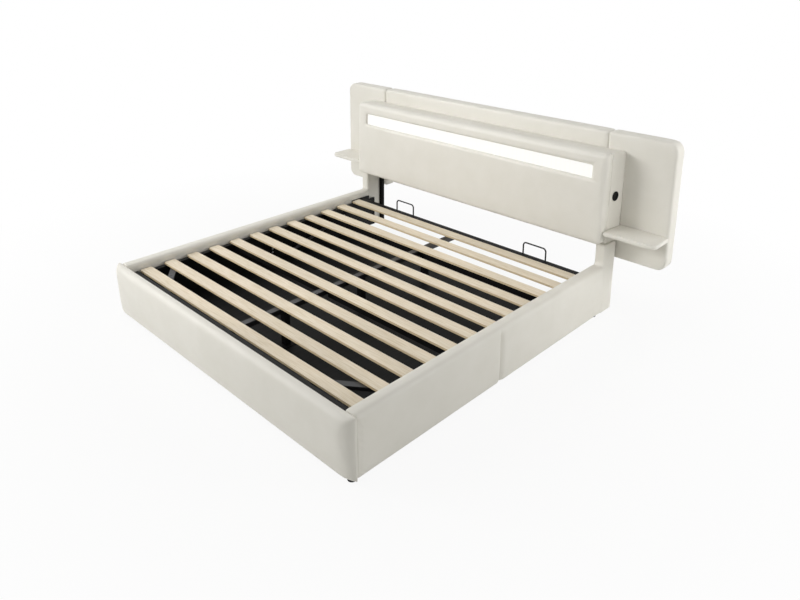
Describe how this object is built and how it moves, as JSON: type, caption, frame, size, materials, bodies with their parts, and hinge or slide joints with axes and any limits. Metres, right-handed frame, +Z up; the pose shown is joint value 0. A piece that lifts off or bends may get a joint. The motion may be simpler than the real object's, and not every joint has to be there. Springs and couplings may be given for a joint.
{
  "type": "storage bed",
  "caption": "Upholstered storage bed with lift-up slatted base on gas struts, lit headboard pad, side shelves and wide back panels.",
  "frame": {"origin": "middle of the bed's outline on the floor", "axes": "+X to the right seen from the foot, +Y towards the headboard, +Z up"},
  "size_m": [2.818, 2.376, 1.154],
  "materials": {
    "upholstery": "matte off-white coated fabric",
    "slat_wood": "pale clear-lacquered laminated wood",
    "black_steel": "black powder coat",
    "plated_steel": "zinc plated",
    "chromed_rod": "polished chrome",
    "black_board": "black faced board",
    "raw_wood": "planed softwood",
    "black_plastic": "matte moulded",
    "rubber": "matte rubber",
    "port_plastic": "satin black moulded",
    "light_channel": "white coated extrusion",
    "light_diffuser": "opal diffuser, lit"
  },
  "bodies": {
    "base": {"footboard": "upholstery", "side_rail_front_left": "upholstery", "side_rail_rear_left": "upholstery", "side_rail_front_right": "upholstery", "side_rail_rear_right": "upholstery", "post_left": "upholstery", "post_right": "upholstery", "light_box": "upholstery", "front_pad": "upholstery", "center_panel": "upholstery", "wing_left": "upholstery", "wing_right": "upholstery", "shelf_left": "upholstery", "shelf_right": "upholstery", "led_channel": "light_channel", "led_diffuser": "light_diffuser", "port_ring": "port_plastic", "port_insert": "port_plastic", "uprights": "black_steel", "storage_floor_front": "black_board", "storage_floor_rear": "black_board", "floor_bearers": "raw_wood", "crossboard": "black_board", "side_liners": "black_board", "feet": "black_plastic", "corner_brackets": "black_steel", "joint_plates": "black_steel", "joint_bolts": "plated_steel", "rest_ledgers": "black_steel", "center_legs": "black_steel", "leg_pads": "rubber", "hinge_plates": "black_steel", "hinge_pins": "plated_steel", "strut_anchors": "black_steel"},
    "platform": {"slat_01": "slat_wood", "slat_02": "slat_wood", "slat_03": "slat_wood", "slat_04": "slat_wood", "slat_05": "slat_wood", "slat_06": "slat_wood", "slat_07": "slat_wood", "slat_08": "slat_wood", "slat_09": "slat_wood", "slat_10": "slat_wood", "slat_11": "slat_wood", "slat_12": "slat_wood", "side_tubes": "black_steel", "foot_bar": "black_steel", "head_bar": "black_steel", "center_tube": "black_steel", "cross_tubes": "black_steel", "corner_braces": "black_steel", "mattress_hoops": "black_steel", "arm_plate_left": "black_steel", "arm_plate_right": "black_steel"},
    "strut_cylinder_left": {"strut_cylinder_left": "black_steel"},
    "strut_cylinder_right": {"strut_cylinder_right": "black_steel"},
    "strut_rod_left": {"strut_rod_left": "chromed_rod"},
    "strut_rod_right": {"strut_rod_right": "chromed_rod"}
  },
  "joints": [
    {"name": "platform_lift", "type": "hinge", "parent": "base", "child": "platform", "pos_m": [0, 0.75, 0.205], "axis": [-1, 0, 0], "range_deg": [0, 38]},
    {"name": "strut_swing_left", "type": "hinge", "parent": "base", "child": "strut_cylinder_left", "pos_m": [-0.976, 0.12, 0.07], "axis": [1, 0, 0], "range_deg": [0, 5.4]},
    {"name": "strut_slide_left", "type": "slide", "parent": "strut_cylinder_left", "child": "strut_rod_left", "axis": [0, 0.9659, 0.2588], "range_m": [0, 0.041]},
    {"name": "strut_swing_right", "type": "hinge", "parent": "base", "child": "strut_cylinder_right", "pos_m": [0.976, 0.12, 0.07], "axis": [1, 0, 0], "range_deg": [0, 5.4]},
    {"name": "strut_slide_right", "type": "slide", "parent": "strut_cylinder_right", "child": "strut_rod_right", "axis": [0, 0.9659, 0.2588], "range_m": [0, 0.041]}
  ],
  "couplings": [
    {"joint": "strut_swing_left", "follows": "platform_lift", "ratio": 0.139},
    {"joint": "strut_slide_left", "follows": "platform_lift", "m_per_rad": 0.058973},
    {"joint": "strut_swing_right", "follows": "platform_lift", "ratio": 0.139},
    {"joint": "strut_slide_right", "follows": "platform_lift", "m_per_rad": 0.058973}
  ]
}
